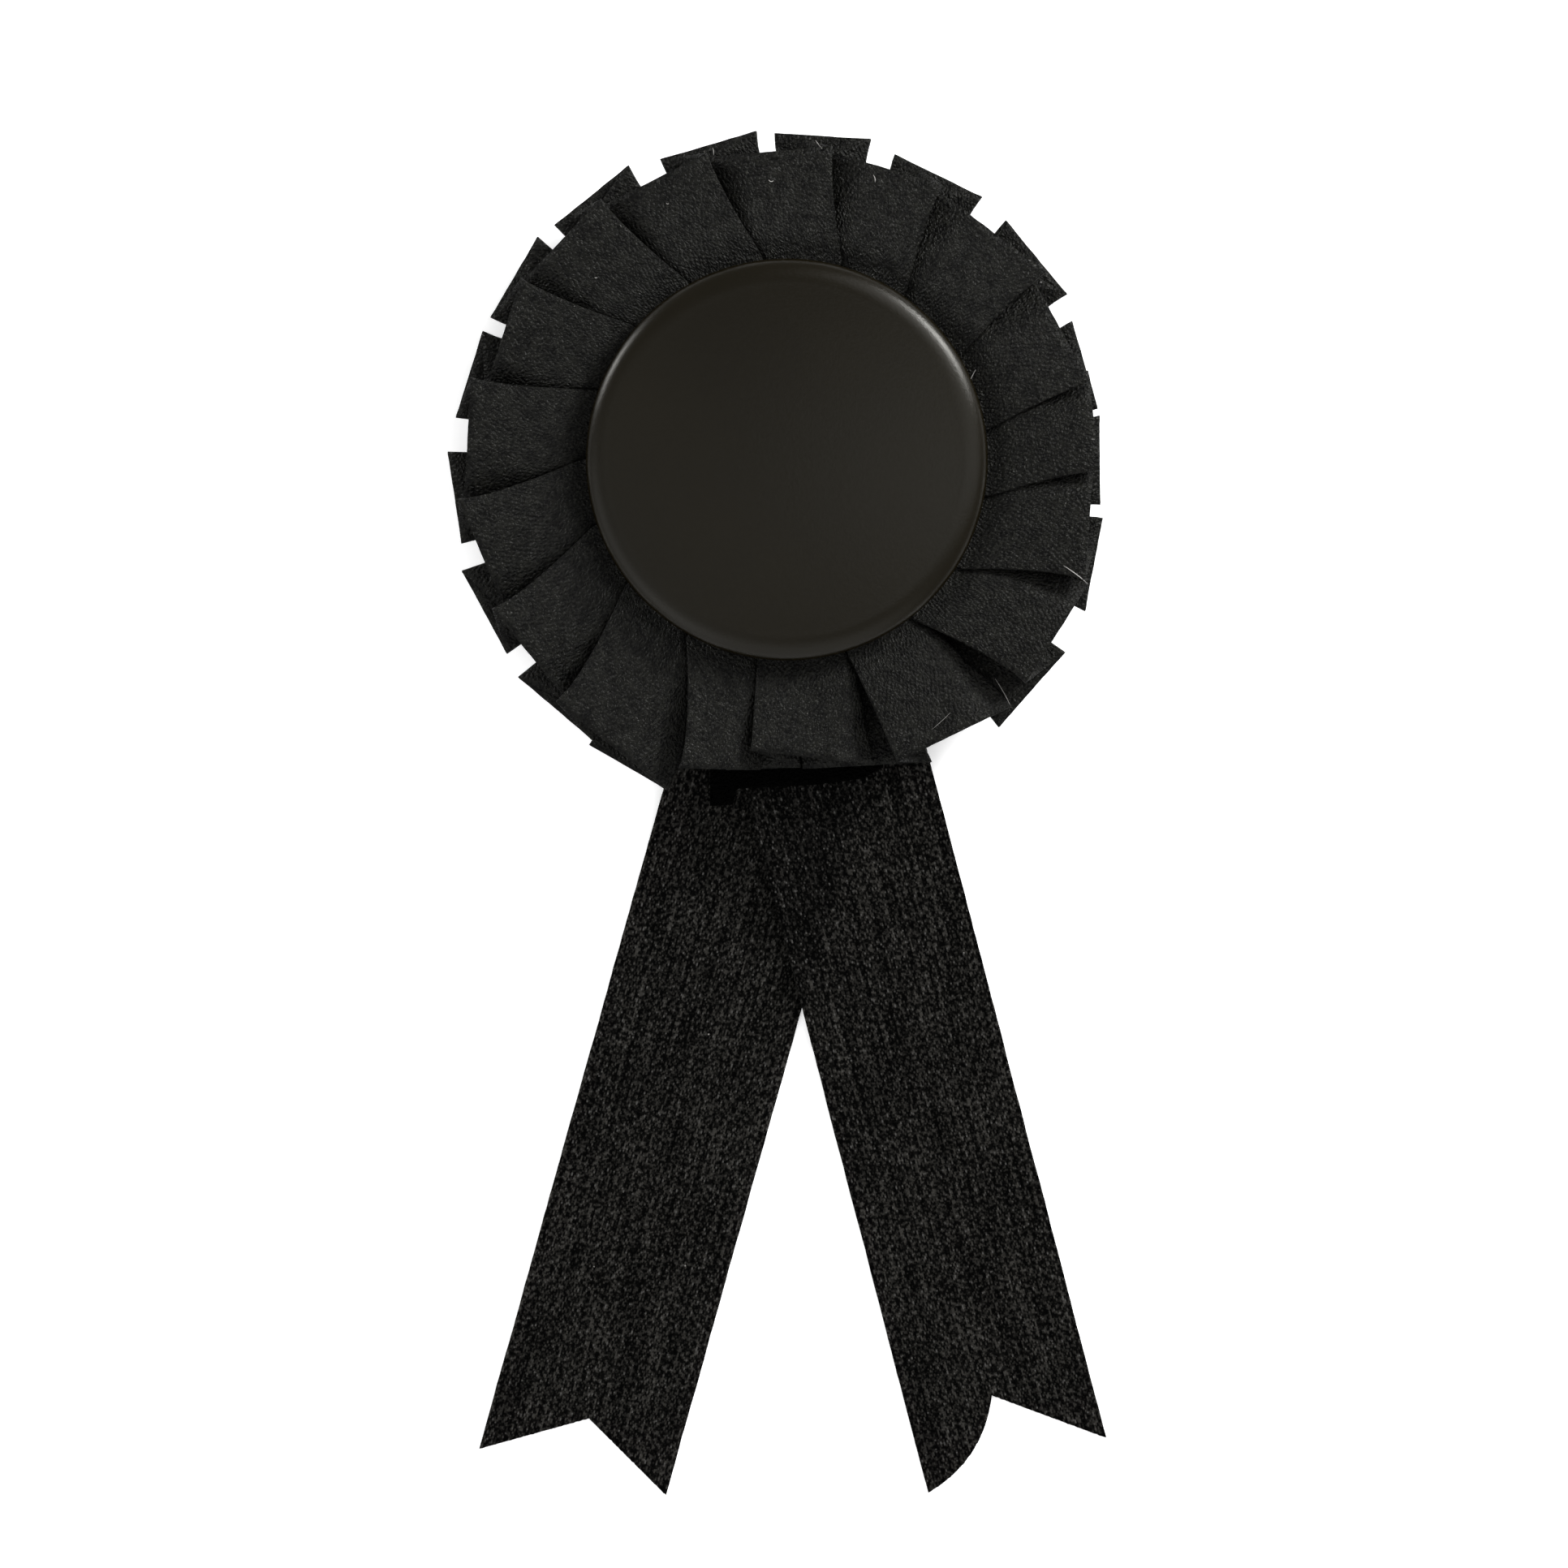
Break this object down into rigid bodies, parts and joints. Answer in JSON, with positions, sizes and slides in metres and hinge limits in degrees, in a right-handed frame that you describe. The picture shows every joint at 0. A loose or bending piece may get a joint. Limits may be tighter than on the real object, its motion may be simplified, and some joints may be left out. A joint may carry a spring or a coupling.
{
  "type": "ribbon rosette",
  "caption": "Black award rosette: a low domed badge in a ring of overlapping box pleats, two forked ribbon tails below it and a bar pin behind.",
  "frame": {"origin": "on the surface that the rosette lies on, under the middle of its outline", "axes": "+Z is the front, +Y runs from the tails to the top of the badge, +X to the right as seen from the front"},
  "size_m": [0.0952, 0.1971, 0.0171],
  "materials": {
    "badge_enamel": "warm black, satin, with a broad soft highlight on the rolled edge",
    "satin_ribbon": "black satin ribbon with a soft sheen across the weave",
    "satin_ribbon_end": "black satin ribbon seen in shadow",
    "crinkled_ribbon": "thin black ribbon with fine lengthwise crinkles, faintly see-through",
    "card": "plain dark card, matte",
    "pin_steel": "nickel-plated steel, satin"
  },
  "bodies": {
    "root": {"badge": "badge_enamel", "pleated_ribbon": "satin_ribbon", "ribbon_end": "satin_ribbon_end", "tail_left": "crinkled_ribbon", "tail_right": "crinkled_ribbon", "back_card": "card", "bar_pin": "pin_steel"}
  },
  "joints": []
}
